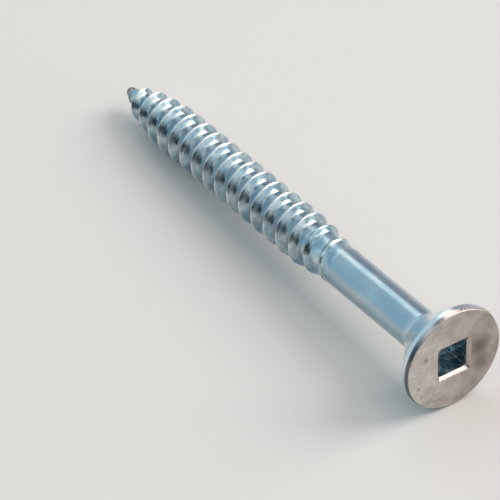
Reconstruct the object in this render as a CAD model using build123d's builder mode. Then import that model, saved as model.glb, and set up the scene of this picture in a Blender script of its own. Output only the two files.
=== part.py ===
from build123d import *
from math import atan2, ceil, cos, degrees, pi, radians, sin, tan
import os

# Flat head wood screw, No. 10 by 2 in, for a square driver.
# It is built standing on its own axis, with the face of the head at z = 0 and the
# point downwards, so a depth is a distance below the face. It is laid down at the end.

# Overall
length = 50.8
tip_radius = 0.38
tip_rounding = 0.26

# Countersunk head
head_diameter = 9.6
head_angle = 82.0
rim_height = 0.8
rim_bevel = 0.13
neck_fillet = 0.9

# Square socket, punched, so its walls draw in a little towards the floor
socket_across = 2.86
socket_depth = 2.3
socket_draft = 1.5
lead_in = 0.3
floor_depth = 0.45
floor_slope = 60.0

# Plain shank, the size of the wire that the thread is rolled from
shank_diameter = 3.7

# Coarse wood thread
thread_diameter = 4.9
core_diameter = 3.4
thread_pitch = 25.4 / 13
thread_length = 35.0
flank_angle = 60.0
thread_sink = 0.22
runout_turns = 3
runout_overlap = 0.5
sections_per_turn = 16
turns_per_stretch = 4

# Gimlet point, where the thread starts just above the tip
point_length = 9.0
thread_start = 0.7
thread_rise = 4.0

# How it lies: the turn about its own axis that faces the floor
floor_turn = 70.0

# Sizes that follow from these
head_radius = head_diameter / 2
shank_radius = shank_diameter / 2
thread_radius = thread_diameter / 2
core_radius = core_diameter / 2
neck_depth = rim_height + (head_radius - shank_radius) / tan(radians(head_angle / 2))
shank_end = length - thread_length
runout_start = shank_end + runout_turns * thread_pitch
point_start = length - point_length
ridge_height = thread_radius - core_radius
foot_slope = tan(radians(flank_angle / 2))
point_turns = (point_length - thread_start) / thread_pitch
even_turns = (point_start - runout_start) / thread_pitch - runout_overlap
last_turns = runout_turns + runout_overlap


def core_radius_at(depth):
    """Radius of the core under the thread."""
    if depth < runout_start:
        share = (runout_start - depth) / (runout_start - shank_end)
        return core_radius + (shank_radius - core_radius) * share
    if depth > point_start:
        share = (depth - point_start) / point_length
        return core_radius + (tip_radius - core_radius) * share
    return core_radius


def crest_radius_at(depth):
    """Radius of the thread's crest, which grows out of the point and sinks into the shank."""
    if depth < runout_start:
        share = (runout_start - depth) / (runout_start - shank_end)
        sunk_radius = shank_radius - thread_sink / 2
        return sunk_radius + (thread_radius - sunk_radius) * cos(share * pi / 2)
    above_start = length - thread_start - depth
    share = min(above_start / thread_rise, 1)
    sunk_height = thread_sink / 2
    return core_radius_at(depth) - sunk_height + (ridge_height + sunk_height) * sin(share * pi / 2)


def ridge_section(turn):
    """Outline of the thread ridge, so many turns up from the start of the even thread."""
    depth = point_start - turn * thread_pitch
    inner = core_radius_at(depth) - thread_sink
    outer = crest_radius_at(depth)
    half_foot = (outer - inner) * foot_slope
    angle = radians(360 * turn)
    through_axis = Plane(
        origin=(0, 0, -depth),
        x_dir=(cos(angle), sin(angle), 0),
        z_dir=(sin(angle), -cos(angle), 0),
    )
    with BuildSketch(through_axis) as section:
        with BuildLine():
            Polyline((inner, -half_foot), (outer, 0), (inner, half_foot), close=True)
        make_face()
    return section.sketch


# Thread ridge over the point, where it rises with the cone
with BuildPart() as point_ridge:
    steps = round(point_turns * sections_per_turn)
    for step in range(steps + 1):
        add(ridge_section(point_turns * (step / steps - 1)))
    loft()

# Even thread ridge, wound in stretches of a few turns that meet end to end
with BuildPart() as even_ridge:
    for first_turn in range(0, ceil(even_turns), turns_per_stretch):
        wound_turns = min(turns_per_stretch, even_turns - first_turn)
        start = (0, 0, first_turn * thread_pitch - point_start)
        with BuildLine() as winding:
            Helix(thread_pitch, wound_turns * thread_pitch, core_radius, center=start)
        add(ridge_section(first_turn))
        sweep(path=winding.line, is_frenet=True)

# Last turns of the ridge, which run out into the shank
with BuildPart() as runout_ridge:
    steps = round(last_turns * sections_per_turn)
    for step in range(steps + 1):
        add(ridge_section(even_turns + last_turns * step / steps))
    loft()

# Whole screw, one piece of wire
with BuildPart() as screw:
    with BuildSketch(Plane.XZ) as blank:
        with BuildLine():
            Polyline(
                (0, 0),
                (head_radius, 0),
                (head_radius, -rim_height),
                (shank_radius, -neck_depth),
                (shank_radius, -shank_end),
                (core_radius, -runout_start),
                (core_radius, -point_start),
                (tip_radius, -length),
                (0, -length),
                close=True,
            )
        make_face()
        rim_corner = blank.vertices().sort_by_distance((head_radius, 0))[0]
        chamfer(rim_corner, rim_bevel)
        neck_corner = blank.vertices().sort_by_distance((shank_radius, -neck_depth))[0]
        fillet(neck_corner, neck_fillet)
        tip_corner = blank.vertices().sort_by_distance((tip_radius, -length))[0]
        fillet(tip_corner, tip_rounding)
    revolve(axis=Axis.Z)

    # Square socket, set square to the floor as the screw lies
    face_plane = Plane.XY.rotated((0, 0, floor_turn))
    with BuildSketch(face_plane):
        Rectangle(socket_across, socket_across)
    extrude(amount=-socket_depth, taper=socket_draft, mode=Mode.SUBTRACT)
    with BuildSketch(face_plane):
        mouth = socket_across + 2 * lead_in
        Rectangle(mouth, mouth)
    extrude(amount=-lead_in, taper=45, mode=Mode.SUBTRACT)
    with BuildSketch(face_plane.offset(-socket_depth)):
        floor_across = socket_across - 2 * socket_depth * tan(radians(socket_draft))
        Rectangle(floor_across, floor_across)
    extrude(amount=-floor_depth, taper=floor_slope, mode=Mode.SUBTRACT)

    add(point_ridge.part)
    add(even_ridge.part)
    add(runout_ridge.part)

# Laid down on a level floor: the rim's back edge and the last full crest before the
# point touch it, and the head is towards +X
last_crest = point_start - floor_turn / 360 * thread_pitch
lean = degrees(atan2(head_radius - thread_radius, last_crest - rim_height))
turned = screw.part.moved(Rot(0, 90 - lean, 0) * Rot(0, 0, -floor_turn))
box = turned.bounding_box()
laid = turned.moved(Pos(-box.center().X, -box.center().Y, -box.min.Z))
laid.label = "wood_screw"

os.makedirs("parts", exist_ok=True)
export_step(laid, "parts/wood_screw.step")
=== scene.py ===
from math import cos, pi, radians, sin, sqrt, tan

import bmesh
import bpy
from mathutils import Matrix, Vector


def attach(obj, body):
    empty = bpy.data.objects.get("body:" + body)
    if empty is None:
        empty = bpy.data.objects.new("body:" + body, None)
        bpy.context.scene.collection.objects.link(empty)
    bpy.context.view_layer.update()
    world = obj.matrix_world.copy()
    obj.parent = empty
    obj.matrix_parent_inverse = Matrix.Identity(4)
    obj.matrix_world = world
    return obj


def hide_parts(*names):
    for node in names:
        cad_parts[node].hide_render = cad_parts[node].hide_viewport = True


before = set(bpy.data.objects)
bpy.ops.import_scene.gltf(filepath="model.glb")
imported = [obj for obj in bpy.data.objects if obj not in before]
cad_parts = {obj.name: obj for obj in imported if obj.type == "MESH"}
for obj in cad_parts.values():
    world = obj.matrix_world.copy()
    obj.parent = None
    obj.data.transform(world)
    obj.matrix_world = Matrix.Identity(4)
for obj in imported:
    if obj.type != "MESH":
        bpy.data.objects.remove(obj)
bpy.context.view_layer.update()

# Sizes of the screw in mm. A depth is a distance from the face of the head along the axis.
MM = 0.001
LENGTH = 50.8
HEAD_RADIUS = 4.795
HALF_HEAD_ANGLE = radians(41)
RIM_HEIGHT = 0.8
SHANK_RADIUS = 1.85
NECK_DEPTH = RIM_HEIGHT + (HEAD_RADIUS - SHANK_RADIUS) / tan(HALF_HEAD_ANGLE)
SHANK_END = 15.8
CORE_RADIUS = 1.7
THREAD_RADIUS = 2.45
PITCH = 25.4 / 13
RUNOUT_START = SHANK_END + 3 * PITCH
POINT_START = 41.8
THREAD_START = 0.5
THREAD_RISE = 3.2
THREAD_SINK = 0.22
TIP_RADIUS = 0.44
SOCKET_BOTTOM = 2.75

# How the thread's crest is rounded and its roots are filleted, in mm, and how full the core is
# over the point, where a power of 1 would give a straight cone
HALF_FLANK_ANGLE = radians(30)
CREST_ROUNDING = 0.08
CREST_INSET = 0.01
ROOT_FILLET = 0.36
POINT_POWER = 1.35

# How the screw lies: its face's middle, the rise of its axis and the turn that faces the floor
FACE_MIDDLE = Vector((25.22744, 0.0, 4.83824))
LEAN = radians(3.3111)
AXIS = Vector((cos(LEAN), 0, sin(LEAN)))
FLOOR_TURN = radians(70)
LAID = (
    Matrix.Translation(FACE_MIDDLE * MM)
    @ Matrix.Rotation(pi / 2 - LEAN, 4, "Y")
    @ Matrix.Rotation(-FLOOR_TURN, 4, "Z")
    @ Matrix.Scale(MM, 4)
)

# Columns of the mesh: all round the screw, along half a side of the socket, round half of one
# of its corners, and up to the middle of its first side
COLUMNS = 144
SIDE = COLUMNS // 8
CORNER_COLUMNS = 4
SOCKET_COLUMN = round(FLOOR_TURN / (2 * pi) * COLUMNS)

# Rows of the mesh along the thread: their offsets from a crest in pitches, how many turns of
# them there are below and above the start of the point, and the depths that they stay between
ROW_OFFSETS = (0.014, 0.032, 0.06, 0.1, 0.14, 0.175, 0.21, 0.25, 0.29, 0.34, 0.4)
ROWS = [-offset for offset in reversed(ROW_OFFSETS)] + [0.0] + list(ROW_OFFSETS) + [0.5]
TURNS_BELOW = 5
TURNS_ABOVE = 14
THREAD_TOP = 15.3
THREAD_BOTTOM = LENGTH - 0.62
ROW_CLEARANCE = 0.02

# Steps that a fillet in a profile is drawn in
FILLET_STEPS = 6


def core_radius_at(depth):
    """Radius of the core under the thread."""
    if depth < RUNOUT_START:
        share = min((RUNOUT_START - depth) / (RUNOUT_START - SHANK_END), 1)
        return CORE_RADIUS + (SHANK_RADIUS - CORE_RADIUS) * share
    if depth > POINT_START:
        share = (depth - POINT_START) / (LENGTH - POINT_START)
        return CORE_RADIUS + (TIP_RADIUS - CORE_RADIUS) * share**POINT_POWER
    return CORE_RADIUS


def crest_radius_at(depth):
    """Radius of the crest: it grows out of the point and sinks into the shank."""
    if depth < RUNOUT_START:
        share = min((RUNOUT_START - depth) / (RUNOUT_START - SHANK_END), 1)
        sunk = SHANK_RADIUS - THREAD_SINK / 2
        return sunk + (THREAD_RADIUS - sunk) * cos(share * pi / 2)
    share = max(0, min((LENGTH - THREAD_START - depth) / THREAD_RISE, 1))
    height = (THREAD_RADIUS - CORE_RADIUS + THREAD_SINK / 2) * sin(share * pi / 2)
    return core_radius_at(depth) - THREAD_SINK / 2 + height


def smooth_max(a, b, width):
    """The larger of two radii, with a fillet where they meet."""
    share = max(0, min(0.5 + 0.5 * (a - b) / width, 1))
    return b + (a - b) * share + width * share * (1 - share)


def thread_radius_at(crest_depth, offset):
    """Radius of the thread's surface at an offset in mm from its crest, along the axis."""
    crest = crest_radius_at(crest_depth) - CREST_INSET
    below_crest = sqrt(offset**2 + CREST_ROUNDING**2) - CREST_ROUNDING
    ridge = crest - below_crest / tan(HALF_FLANK_ANGLE)
    core = core_radius_at(crest_depth - offset)
    return smooth_max(ridge, core, ROOT_FILLET)


def rounded_profile(corners):
    """A profile of (radius, depth) points, from corners of (radius, depth, fillet radius)."""
    points = []
    for index, (radius, depth, fillet) in enumerate(corners):
        here = Vector((radius, depth))
        if not fillet:
            points.append(here)
            continue
        back = (Vector(corners[index - 1][:2]) - here).normalized()
        onward = (Vector(corners[index + 1][:2]) - here).normalized()
        half = back.angle(onward) / 2
        centre = here + (back + onward).normalized() * fillet / sin(half)
        start = (here + back * fillet / tan(half) - centre).normalized()
        end = (here + onward * fillet / tan(half) - centre).normalized()
        for step in range(FILLET_STEPS + 1):
            points.append(centre + start.slerp(end, step / FILLET_STEPS) * fillet)
    return points


def round_ring(radius, depth):
    """One ring of points round the axis."""
    turns = (2 * pi * column / COLUMNS for column in range(COLUMNS))
    return [Vector((radius * cos(turn), radius * sin(turn), -depth)) for turn in turns]


def square_ring(half, corner, depth):
    """One ring of points on a square with rounded corners, set as the socket is."""
    ring = []
    for column in range(COLUMNS):
        quarter, step = divmod(column - SOCKET_COLUMN + SIDE, 2 * SIDE)
        along = step - SIDE
        straight = SIDE - CORNER_COLUMNS
        if abs(along) <= straight:
            x, y = half, (half - corner) * along / straight
        else:
            angle = (abs(along) - straight) / CORNER_COLUMNS * pi / 4
            x = half - corner + corner * cos(angle)
            y = half - corner + corner * sin(angle)
            y = y if along > 0 else -y
        turn = FLOOR_TURN + quarter * pi / 2
        ring.append(
            Vector((x * cos(turn) - y * sin(turn), x * sin(turn) + y * cos(turn), -depth))
        )
    return ring


def add_ring(shape, points):
    """Adds a ring of vertices to the mesh being built."""
    return [shape.verts.new(point) for point in points]


def join_rings(shape, upper, lower, material):
    """Closes the band between two rings."""
    for column in range(COLUMNS):
        after = (column + 1) % COLUMNS
        face = shape.faces.new((upper[column], lower[column], lower[after], upper[after]))
        face.material_index = material


def add_rings(shape, above, rings, material):
    """Adds rings one below the other, each joined to the one above, and gives the last."""
    for points in rings:
        ring = add_ring(shape, points)
        join_rings(shape, above, ring, material)
        above = ring
    return above


def add_thread(shape, above, material):
    """Adds the helical rows between the ring above and the ring where the tip starts."""
    rows_per_turn = len(ROWS)
    crest = shape.verts.layers.float["crest"]
    groove = shape.verts.layers.float["groove"]
    full_height = THREAD_RADIUS - CORE_RADIUS
    below = add_ring(shape, round_ring(core_radius_at(THREAD_BOTTOM), THREAD_BOTTOM))

    # Each column keeps its vertices by row number, counted upwards from the start of the point
    columns = []
    for column in range(COLUMNS):
        share = column / COLUMNS
        turn = 2 * pi * share
        rows = {}
        for row in range(-TURNS_BELOW * rows_per_turn, TURNS_ABOVE * rows_per_turn):
            pitches = row // rows_per_turn + share
            offset = ROWS[row % rows_per_turn] * PITCH
            crest_depth = POINT_START - pitches * PITCH
            depth = crest_depth - offset
            if not THREAD_TOP + ROW_CLEARANCE < depth < THREAD_BOTTOM - ROW_CLEARANCE:
                continue
            radius = thread_radius_at(crest_depth, offset)
            place = Vector((radius * cos(turn), radius * sin(turn), -depth))
            rows[row] = shape.verts.new(place)
            rows[row][crest] = (radius - core_radius_at(depth)) / full_height
            rows[row][groove] = (crest_radius_at(crest_depth) - radius) / full_height
        columns.append(rows)

    # Each column is joined to the next, and the last to the first one turn further up. A face
    # at each end closes the strip between them to the rings above and below.
    for column in range(COLUMNS):
        after = (column + 1) % COLUMNS
        shift = 0 if after else rows_per_turn
        here = columns[column]
        there = {row - shift: vertex for row, vertex in columns[after].items()}
        low = max(min(here), min(there))
        high = min(max(here), max(there))
        for row in range(low, high):
            corners = (here[row + 1], here[row], there[row], there[row + 1])
            shape.faces.new(corners).material_index = material
        top = [there[row] for row in range(max(there), high - 1, -1)]
        top += [here[row] for row in range(high, max(here) + 1)]
        corners = [above[after], above[column]] + list(reversed(top))
        shape.faces.new(corners).material_index = material
        bottom = [here[row] for row in range(low, min(here) - 1, -1)]
        bottom += [below[column], below[after]]
        bottom += [there[row] for row in range(min(there), low + 1)]
        shape.faces.new(bottom).material_index = material
    return below


# The screw, one closed mesh. It keeps each point's height above the thread's core and its
# distance below the crest, as shares of the thread's full height.
SHANK, THREAD, FACE, SOCKET = range(4)
shape = bmesh.new()
shape.verts.layers.float.new("crest")
shape.verts.layers.float.new("groove")

# Socket: its rounded square rings, each (half width, corner radius, depth), from the bottom up
socket = [
    (0.7, 0.1, 2.69),
    (1.08, 0.1, 2.45),
    (1.22, 0.1, 2.33),
    (1.32, 0.1, 2.2),
    (1.37, 0.1, 2.03),
    (1.382, 0.11, 1.85),
    (1.395, 0.12, 1.4),
    (1.41, 0.13, 0.8),
    (1.42, 0.14, 0.42),
    (1.432, 0.15, 0.335),
    (1.455, 0.17, 0.285),
    (1.66, 0.34, 0.07),
    (1.7, 0.37, 0.03),
    (1.73, 0.39, 0.008),
]
bottom = shape.verts.new((0, 0, -SOCKET_BOTTOM))
ring = add_ring(shape, square_ring(0.55, 0.1, SOCKET_BOTTOM - 0.005))
for column in range(COLUMNS):
    corners = (bottom, ring[column], ring[(column + 1) % COLUMNS])
    shape.faces.new(corners).material_index = SOCKET
ring = add_rings(shape, ring, [square_ring(*row) for row in socket], SOCKET)

# Face, from the rounded mouth of the socket out towards the rim
mouth = square_ring(1.77, 0.42, 0)
outer = round_ring(HEAD_RADIUS - 0.27, 0)
ways_out = (0, 0.3, 0.65)
face_rings = [[a.lerp(b, way) for a, b in zip(mouth, outer)] for way in ways_out]
ring = add_rings(shape, ring, face_rings, FACE)

# Rim, which bulges a little, then the cone, the neck and the plain shank, as corners of
# (radius, depth, fillet radius). The rings round the first corner belong to the face.
head = rounded_profile(
    [
        (0, 0, 0),
        (HEAD_RADIUS - 0.12, 0, 0.13),
        (HEAD_RADIUS, 0.42, 0.35),
        (HEAD_RADIUS, RIM_HEIGHT, 0.08),
        (SHANK_RADIUS, NECK_DEPTH, 0.9),
        (SHANK_RADIUS, THREAD_TOP, 0),
    ]
)[1:]
head_rings = [round_ring(*point) for point in head]
edge_rings = FILLET_STEPS + 1
ring = add_rings(shape, ring, head_rings[:edge_rings], FACE)
ring = add_rings(shape, ring, head_rings[edge_rings:], SHANK)
ring = add_thread(shape, ring, THREAD)

# Tip, blunt and rounded
tip = rounded_profile(
    [
        (core_radius_at(THREAD_BOTTOM), THREAD_BOTTOM, 0),
        (TIP_RADIUS, LENGTH, 0.37),
        (0, LENGTH, 0),
    ]
)[1:-1]
ring = add_rings(shape, ring, [round_ring(*point) for point in tip], THREAD)
end = shape.verts.new((0, 0, -LENGTH))
for column in range(COLUMNS):
    corners = (end, ring[(column + 1) % COLUMNS], ring[column])
    shape.faces.new(corners).material_index = THREAD

shape.transform(LAID)
bmesh.ops.recalc_face_normals(shape, faces=shape.faces)
for face in shape.faces:
    face.smooth = True
mesh = bpy.data.meshes.new("screw")
shape.to_mesh(mesh)
shape.free()
screw = bpy.data.objects.new("screw", mesh)
bpy.context.scene.collection.objects.link(screw)
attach(screw, "root")
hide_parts("wood_screw")


# Inputs and outputs that go by their number, because several of them share a name: those of
# a mapped range, then those of a mix of two colours
VALUE, LOW, HIGH, AT_LOW, AT_HIGH = range(5)
SHARE, FIRST, SECOND, MIXED = 0, 6, 7, 2


def linear(code):
    """Linear colour of an sRGB hex value."""
    values = [int(code[i : i + 2], 16) / 255 for i in (1, 3, 5)]
    return [v / 12.92 if v <= 0.04045 else ((v + 0.055) / 1.055) ** 2.4 for v in values] + [1]


def add_node(tree, kind, settings=None, links=None):
    """Adds a node, with its settings and with the outputs or values at its inputs."""
    node = tree.nodes.new(kind)
    for name, value in (settings or {}).items():
        setattr(node, name, value)
    for name, value in (links or {}).items():
        if isinstance(value, bpy.types.NodeSocket):
            tree.links.new(value, node.inputs[name])
        else:
            node.inputs[name].default_value = value
    return node


def new_material(name, metallic):
    """A material, its node tree and the surface that its patterns feed."""
    material = bpy.data.materials.new(name)
    material.use_nodes = True
    tree = material.node_tree
    tree.nodes.clear()
    surface = add_node(tree, "ShaderNodeBsdfPrincipled", links={"Metallic": metallic})
    add_node(tree, "ShaderNodeOutputMaterial", links={"Surface": surface.outputs["BSDF"]})
    return material, tree, surface


def place_in_mm(tree):
    """Place on the screw in mm, from which each pattern's scale is one over its size."""
    place = add_node(tree, "ShaderNodeTexCoord").outputs["Object"]
    links = {0: place, "Scale": 1 / MM}
    return add_node(tree, "ShaderNodeVectorMath", {"operation": "SCALE"}, links).outputs[0]


def depth_in_mm(tree, place):
    """Depth below the face of the head in mm, along the screw's axis."""
    links = {0: FACE_MIDDLE, 1: place}
    away = add_node(tree, "ShaderNodeVectorMath", {"operation": "SUBTRACT"}, links)
    links = {0: away.outputs[0], 1: AXIS}
    depth = add_node(tree, "ShaderNodeVectorMath", {"operation": "DOT_PRODUCT"}, links)
    return depth.outputs["Value"]


def drawn_zinc():
    """Steel wire, drawn, zinc plated and blue passivated: an icy blue shine with a soft grain."""
    material, tree, surface = new_material("drawn_blue_passivated_zinc", 1.0)
    place = place_in_mm(tree)

    # Clouds in the blue film, 2 mm wide and twice as long
    long = add_node(tree, "ShaderNodeMapping", links={"Vector": place, "Scale": (0.5, 1, 1)})
    links = {"Vector": long.outputs[0], "Scale": 1 / 2, "Detail": 4.0}
    cloud = add_node(tree, "ShaderNodeTexNoise", links=links)
    links = {VALUE: cloud.outputs["Fac"], LOW: 0.38, HIGH: 0.62}
    share = add_node(tree, "ShaderNodeMapRange", links=links)
    links = {SHARE: share.outputs[0], FIRST: linear("#A4BECA"), SECOND: linear("#BACBD0")}
    film = add_node(tree, "ShaderNodeMix", {"data_type": "RGBA"}, links)

    # Cone and neck painted brighter than the shank below them: a painted reflection of bright
    # light
    depth = depth_in_mm(tree, place)
    links = {VALUE: depth, LOW: 4.9, HIGH: 3.8, AT_LOW: 0.0, AT_HIGH: 0.85}
    pressed = add_node(tree, "ShaderNodeMapRange", links=links)
    links = {SHARE: pressed.outputs[0], FIRST: film.outputs[MIXED], SECOND: linear("#E4EEF2")}
    film = add_node(tree, "ShaderNodeMix", {"data_type": "RGBA"}, links)

    # Band round the rim, down to 0.5 mm below the face: painted shade, dark, low on the rim,
    # and a painted highlight, bright at the top
    axes = add_node(tree, "ShaderNodeSeparateXYZ", links={0: place})
    # Painted highlight towards the top of the rim, painted shade below it
    links = {VALUE: axes.outputs["Z"], LOW: FACE_MIDDLE.z + 2.8, HIGH: FACE_MIDDLE.z + 4.2}
    top = add_node(tree, "ShaderNodeMapRange", links=links)
    links = {SHARE: top.outputs[0], FIRST: linear("#3C4248"), SECOND: linear("#F0E8E7")}
    shade = add_node(tree, "ShaderNodeMix", {"data_type": "RGBA"}, links)
    links = {VALUE: depth, LOW: 0.5, HIGH: 0.42, AT_LOW: 0.0, AT_HIGH: 0.85}
    painted_rim_band = add_node(tree, "ShaderNodeMapRange", links=links)
    links = {SHARE: painted_rim_band.outputs[0], FIRST: film.outputs[MIXED], SECOND: shade.outputs[MIXED]}
    colour = add_node(tree, "ShaderNodeMix", {"data_type": "RGBA"}, links)
    tree.links.new(colour.outputs[MIXED], surface.inputs["Base Color"])

    # Die lines along the wire. The real ones are 0.02 mm apart; 0.15 mm shows.
    lines = add_node(tree, "ShaderNodeMapping", links={"Vector": place, "Scale": (0.1, 1, 1)})
    links = {"Vector": lines.outputs[0], "Scale": 1 / 0.15, "Detail": 3.0}
    line = add_node(tree, "ShaderNodeTexNoise", links=links)
    links = {VALUE: line.outputs["Fac"], LOW: 0.3, HIGH: 0.7, AT_LOW: 0.2, AT_HIGH: 0.3}
    roughness = add_node(tree, "ShaderNodeMapRange", links=links)
    tree.links.new(roughness.outputs[0], surface.inputs["Roughness"])

    # The die lines are pressed nearly smooth on the cone
    links = {VALUE: depth, LOW: 3.4, HIGH: 5.0, AT_LOW: 0.001 * MM, AT_HIGH: 0.004 * MM}
    height = add_node(tree, "ShaderNodeMapRange", links=links)
    links = {"Height": line.outputs["Fac"], "Distance": height.outputs[0]}
    bump = add_node(tree, "ShaderNodeBump", links=links)
    tree.links.new(bump.outputs[0], surface.inputs["Normal"])
    return material


def rolled_zinc():
    """Thread rolled from the wire and plated, with painted highlights on crests and painted shade
    in roots.
    """
    material, tree, surface = new_material("rolled_blue_passivated_zinc", 1.0)
    place = place_in_mm(tree)

    # Clouds in the blue film, 1 mm wide
    links = {"Vector": place, "Scale": 1.0, "Detail": 5.0, "Roughness": 0.6}
    cloud = add_node(tree, "ShaderNodeTexNoise", links=links)
    links = {VALUE: cloud.outputs["Fac"], LOW: 0.38, HIGH: 0.62}
    share = add_node(tree, "ShaderNodeMapRange", links=links)
    links = {SHARE: share.outputs[0], FIRST: linear("#93B2C1"), SECOND: linear("#C9DADD")}
    film = add_node(tree, "ShaderNodeMix", {"data_type": "RGBA"}, links)

    # Painted shade in the roots, a little darker, and a painted highlight on the crests, bright
    groove = add_node(tree, "ShaderNodeAttribute", {"attribute_name": "groove"})
    links = {VALUE: groove.outputs["Fac"], LOW: 0.5, HIGH: 1.0, AT_LOW: 0.0, AT_HIGH: 0.5}
    root = add_node(tree, "ShaderNodeMapRange", links=links)
    links = {SHARE: root.outputs[0], FIRST: film.outputs[MIXED], SECOND: linear("#6C818E")}
    painted_root_shade = add_node(tree, "ShaderNodeMix", {"data_type": "RGBA"}, links)
    # Painted highlight: the tops of the crests painted bright
    crest = add_node(tree, "ShaderNodeAttribute", {"attribute_name": "crest"})
    links = {VALUE: crest.outputs["Fac"], LOW: 0.8, HIGH: 0.97}
    painted_crest_highlight = add_node(tree, "ShaderNodeMapRange", links=links)
    links = {SHARE: painted_crest_highlight.outputs[0], FIRST: painted_root_shade.outputs[MIXED], SECOND: linear("#DDE3E6")}
    colour = add_node(tree, "ShaderNodeMix", {"data_type": "RGBA"}, links)

    # Tip where the plating burnt to a brownish grey, over the last 1.4 mm
    depth = depth_in_mm(tree, place)
    links = {VALUE: depth, LOW: LENGTH - 1.4, HIGH: LENGTH - 0.5, AT_LOW: 0.0, AT_HIGH: 0.9}
    burnt = add_node(tree, "ShaderNodeMapRange", links=links)
    links = {SHARE: burnt.outputs[0], FIRST: colour.outputs[MIXED], SECOND: linear("#8A7C76")}
    colour = add_node(tree, "ShaderNodeMix", {"data_type": "RGBA"}, links)
    tree.links.new(colour.outputs[MIXED], surface.inputs["Base Color"])

    # Slip marks of the dies round the thread. The real ones are 0.03 mm wide; 0.2 mm shows.
    around = add_node(tree, "ShaderNodeMapping", links={"Vector": place, "Scale": (1, 0.4, 0.4)})
    links = {"Vector": around.outputs[0], "Scale": 1 / 0.2, "Detail": 3.0}
    mark = add_node(tree, "ShaderNodeTexNoise", links=links)
    links = {VALUE: mark.outputs["Fac"], LOW: 0.3, HIGH: 0.7, AT_LOW: 0.22, AT_HIGH: 0.38}
    roughness = add_node(tree, "ShaderNodeMapRange", links=links)
    tree.links.new(roughness.outputs[0], surface.inputs["Roughness"])
    links = {"Height": mark.outputs["Fac"], "Distance": 0.013 * MM}
    bump = add_node(tree, "ShaderNodeBump", links=links)
    tree.links.new(bump.outputs[0], surface.inputs["Normal"])
    return material


def headed_zinc():
    """Head pressed flat and plated, then scuffed in the box: warm, dull and mottled."""
    material, tree, surface = new_material("headed_scuffed_zinc", 1.0)
    place = place_in_mm(tree)

    # Stains 2.5 mm across, broken up down to 0.2 mm
    links = {"Vector": place, "Scale": 1 / 2.5, "Detail": 6.0, "Roughness": 0.65}
    stain = add_node(tree, "ShaderNodeTexNoise", links=links)
    links = {VALUE: stain.outputs["Fac"], LOW: 0.36, HIGH: 0.62}
    share = add_node(tree, "ShaderNodeMapRange", links=links)
    # Stain mottle in two tones: a darker one for the side with painted shade, a lighter one for
    # the side with painted light
    links = {SHARE: share.outputs[0], FIRST: linear("#A3988F"), SECOND: linear("#C2BBB2")}
    stains_on_shaded_side = add_node(tree, "ShaderNodeMix", {"data_type": "RGBA"}, links).outputs[MIXED]
    links = {SHARE: share.outputs[0], FIRST: linear("#B9B3AE"), SECOND: linear("#D8D4D0")}
    stains_on_lit_side = add_node(tree, "ShaderNodeMix", {"data_type": "RGBA"}, links).outputs[MIXED]

    # Painted light and shade across the face: lighter towards -Y, darker towards +Y
    axes = add_node(tree, "ShaderNodeSeparateXYZ", links={0: place})
    links = {VALUE: axes.outputs["Y"], LOW: 2.0, HIGH: -2.5}
    painted_light_across_face = add_node(tree, "ShaderNodeMapRange", links=links)
    links = {SHARE: painted_light_across_face.outputs[0], FIRST: stains_on_shaded_side, SECOND: stains_on_lit_side}
    colour = add_node(tree, "ShaderNodeMix", {"data_type": "RGBA"}, links).outputs[MIXED]

    # Brown smudge in two parts beside the socket, and four specks near the rim: for each, how
    # far across and up from the face's middle it is, its radius, both in mm, and its colour
    marks = [
        ((2.6, 0.3), 1.4, "#5E5049"),
        ((2.8, -1.5), 1.2, "#72645C"),
        ((-3.0, 1.3), 0.3, "#5C5552"),
        ((-3.7, -1.4), 0.25, "#6A6360"),
        ((-3.4, -2.4), 0.25, "#6A6360"),
        ((-3.1, -3.2), 0.22, "#6A6360"),
    ]
    for (across, up), radius, shade in marks:
        centre = FACE_MIDDLE + Vector((0, across, up))
        links = {0: place, 1: centre}
        away = add_node(tree, "ShaderNodeVectorMath", {"operation": "DISTANCE"}, links)
        away = away.outputs["Value"]
        links = {VALUE: away, LOW: radius, HIGH: radius / 4, AT_LOW: 0.0, AT_HIGH: 0.7}
        near = add_node(tree, "ShaderNodeMapRange", links=links)
        links = {SHARE: near.outputs[0], FIRST: colour, SECOND: linear(shade)}
        colour = add_node(tree, "ShaderNodeMix", {"data_type": "RGBA"}, links).outputs[MIXED]

    # Scuffs 0.2 mm wide and 2 mm long, all one way, scraped bright, shown only on the side
    # painted lighter
    turned = {"Vector": place, "Rotation": (radians(50), 0, 0), "Scale": (1, 0.1, 1)}
    along = add_node(tree, "ShaderNodeMapping", links=turned)
    links = {"Vector": along.outputs[0], "Scale": 1 / 0.2, "Detail": 3.0}
    scuff = add_node(tree, "ShaderNodeTexNoise", links=links)
    links = {VALUE: scuff.outputs["Fac"], LOW: 0.54, HIGH: 0.66, AT_LOW: 0.0, AT_HIGH: 0.6}
    scraped = add_node(tree, "ShaderNodeMapRange", links=links)
    links = {0: scraped.outputs[0], 1: painted_light_across_face.outputs[0]}
    scraped = add_node(tree, "ShaderNodeMath", {"operation": "MULTIPLY"}, links)
    links = {SHARE: scraped.outputs[0], FIRST: colour, SECOND: linear("#EAE8E4")}
    colour = add_node(tree, "ShaderNodeMix", {"data_type": "RGBA"}, links).outputs[MIXED]
    tree.links.new(colour, surface.inputs["Base Color"])
    links = {VALUE: scuff.outputs["Fac"], LOW: 0.3, HIGH: 0.7, AT_LOW: 0.4, AT_HIGH: 0.54}
    roughness = add_node(tree, "ShaderNodeMapRange", links=links)
    tree.links.new(roughness.outputs[0], surface.inputs["Roughness"])
    links = {"Height": scuff.outputs["Fac"], "Distance": 0.006 * MM}
    bump = add_node(tree, "ShaderNodeBump", links=links)
    tree.links.new(bump.outputs[0], surface.inputs["Normal"])
    return material


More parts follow.
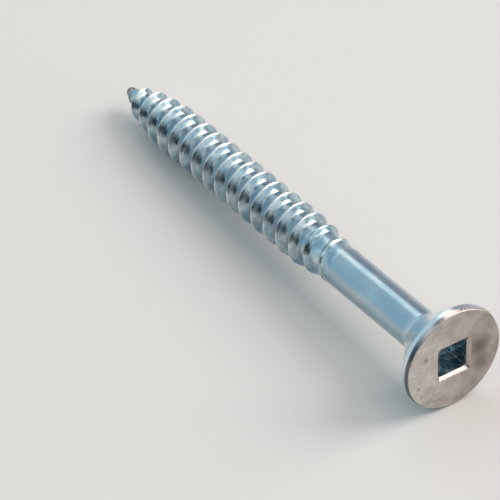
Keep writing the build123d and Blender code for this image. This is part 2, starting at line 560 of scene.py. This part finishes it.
def punched_zinc():
    """Socket punched cold: painted shade, darker and bluer, with painted reflections and drag
    lines.
    """
    material, tree, surface = new_material("punched_blue_passivated_zinc", 1.0)
    place = place_in_mm(tree)

    # Painted reflections: pale patches 0.9 mm across over a darker blue, which is painted shade
    links = {"Vector": place, "Scale": 1 / 0.9, "Detail": 4.0}
    painted_reflection_patches = add_node(tree, "ShaderNodeTexNoise", links=links)
    links = {VALUE: painted_reflection_patches.outputs["Fac"], LOW: 0.46, HIGH: 0.6}
    share = add_node(tree, "ShaderNodeMapRange", links=links)
    links = {SHARE: share.outputs[0], FIRST: linear("#7E97A2"), SECOND: linear("#E2EBEE")}
    colour = add_node(tree, "ShaderNodeMix", {"data_type": "RGBA"}, links)

    # Lead-in pressed bright by the punch, down to 0.3 mm below the face
    links = {VALUE: depth_in_mm(tree, place), LOW: 0.38, HIGH: 0.28}
    lead_in = add_node(tree, "ShaderNodeMapRange", links=links)
    links = {SHARE: lead_in.outputs[0], FIRST: colour.outputs[MIXED], SECOND: linear("#BDB1AC")}
    colour = add_node(tree, "ShaderNodeMix", {"data_type": "RGBA"}, links)
    tree.links.new(colour.outputs[MIXED], surface.inputs["Base Color"])

    # Drag lines of the punch down the walls, 0.12 mm apart
    lines = add_node(tree, "ShaderNodeMapping", links={"Vector": place, "Scale": (0.15, 1, 1)})
    links = {"Vector": lines.outputs[0], "Scale": 1 / 0.12, "Detail": 3.0}
    drag = add_node(tree, "ShaderNodeTexNoise", links=links)
    links = {VALUE: drag.outputs["Fac"], LOW: 0.3, HIGH: 0.7, AT_LOW: 0.22, AT_HIGH: 0.36}
    roughness = add_node(tree, "ShaderNodeMapRange", links=links)
    tree.links.new(roughness.outputs[0], surface.inputs["Roughness"])
    links = {"Height": drag.outputs["Fac"], "Distance": 0.012 * MM}
    bump = add_node(tree, "ShaderNodeBump", links=links)
    tree.links.new(bump.outputs[0], surface.inputs["Normal"])
    return material


# In the order of SHANK, THREAD, FACE and SOCKET
for material in (drawn_zinc(), rolled_zinc(), headed_zinc(), punched_zinc()):
    mesh.materials.append(material)


def matt_card():
    """Pale matt card for the screw to lie on, with a faint tooth 0.3 mm across."""
    material, tree, surface = new_material("matt_card", 0.0)
    surface.inputs["Base Color"].default_value = linear("#DFDBD7")
    surface.inputs["Roughness"].default_value = 0.9
    place = place_in_mm(tree)
    tooth = add_node(tree, "ShaderNodeTexNoise", links={"Vector": place, "Scale": 1 / 0.3})
    links = {"Height": tooth.outputs["Fac"], "Distance": 0.01 * MM}
    bump = add_node(tree, "ShaderNodeBump", links=links)
    tree.links.new(bump.outputs[0], surface.inputs["Normal"])
    return material


# Floor, 6 m across
floor_shape = bmesh.new()
bmesh.ops.create_grid(floor_shape, x_segments=1, y_segments=1, size=3)
floor_mesh = bpy.data.meshes.new("floor")
floor_shape.to_mesh(floor_mesh)
floor_shape.free()
floor_mesh.materials.append(matt_card())
floor = bpy.data.objects.new("floor", floor_mesh)
bpy.context.scene.collection.objects.link(floor)


# How far the lamps are from the screw, in metres
LAMP_DISTANCE = 1.5


def add_softbox(name, towards, length, width, level, colour):
    """A flat lamp that faces the screw, with its brightness as the screw sees it."""
    data = bpy.data.lights.new(name, "AREA")
    data.shape = "RECTANGLE"
    data.size = length
    data.size_y = width
    data.energy = level * pi * length * width
    data.color = linear(colour)[:3]
    lamp = bpy.data.objects.new(name, data)
    bpy.context.scene.collection.objects.link(lamp)
    towards = Vector(towards).normalized()
    lamp.location = towards * LAMP_DISTANCE
    lamp.rotation_mode = "QUATERNION"
    lamp.rotation_quaternion = towards.to_track_quat("Z", "Y")


# Long strip over the screw, which draws the streak on its shank, and a key lamp behind it
add_softbox("strip", (0, 0.4, 0.92), 3.0, 0.85, 1.3, "#FFF1EB")
add_softbox("key", (0.26, 0.78, 0.57), 0.9, 0.9, 6.4, "#FFFAF6")


def studio():
    """A grey room with soft patches, which the metal mirrors."""
    world = bpy.data.worlds.new("studio")
    world.use_nodes = True
    tree = world.node_tree
    tree.nodes.clear()
    towards = add_node(tree, "ShaderNodeTexCoord").outputs["Generated"]
    colour = linear("#3F4449")

    # The way to the middle of each patch, the cosines at its edge and where it is full, and its
    # colour. They are a blue one beyond the point, a lavender one behind the screw, a grey one
    # low past the head, a pale one above the camera, a dark one low in front of the head and a
    # pale one high past the head.
    patches = [
        ((-0.9, -0.4, 0.25), 0.42, 0.62, "#BDD6E3"),
        ((-0.5, 0.85, 0.1), 0.8, 0.95, "#A9A9B5"),
        ((0.87, 0.43, 0.2), 0.75, 0.93, "#8796A3"),
        ((0.35, -0.45, 0.82), 0.84, 0.96, "#F2FAFC"),
        ((0.6, -0.72, -0.35), 0.45, 0.7, "#15181A"),
        ((0.86, 0.15, 0.48), 0.9, 0.97, "#F4FAFC"),
    ]
    for middle, edge, full, shade in patches:
        links = {0: towards, 1: Vector(middle).normalized()}
        facing = add_node(tree, "ShaderNodeVectorMath", {"operation": "DOT_PRODUCT"}, links)
        links = {VALUE: facing.outputs["Value"], LOW: edge, HIGH: full}
        smooth = {"interpolation_type": "SMOOTHSTEP"}
        share = add_node(tree, "ShaderNodeMapRange", smooth, links)
        links = {SHARE: share.outputs[0], FIRST: colour, SECOND: linear(shade)}
        colour = add_node(tree, "ShaderNodeMix", {"data_type": "RGBA"}, links).outputs[MIXED]
    links = {"Color": colour, "Strength": 1.0}
    background = add_node(tree, "ShaderNodeBackground", links=links)
    add_node(tree, "ShaderNodeOutputWorld", links={"Surface": background.outputs[0]})
    return world


bpy.context.scene.world = studio()

# Camera, at the photo's view of the screw
camera_data = bpy.data.cameras.new("camera")
camera_data.lens = 165.6
camera_data.sensor_width = 36
camera_data.clip_start = 0.01
camera_data.clip_end = 10
camera = bpy.data.objects.new("camera", camera_data)
bpy.context.scene.collection.objects.link(camera)
back = Vector((0.64223, -0.43255, 0.63281)).normalized()
right = Vector((0.55863, 0.82942, 0.0)).normalized()
up = back.cross(right).normalized()
right = up.cross(back)
spot = (FACE_MIDDLE + Vector((106.54, -91.90, 125.72))) * MM
turn = Matrix((right, up, back)).transposed().to_4x4()
camera.matrix_world = Matrix.Translation(spot) @ turn
bpy.context.scene.camera = camera
bpy.context.scene.view_settings.view_transform = "Standard"
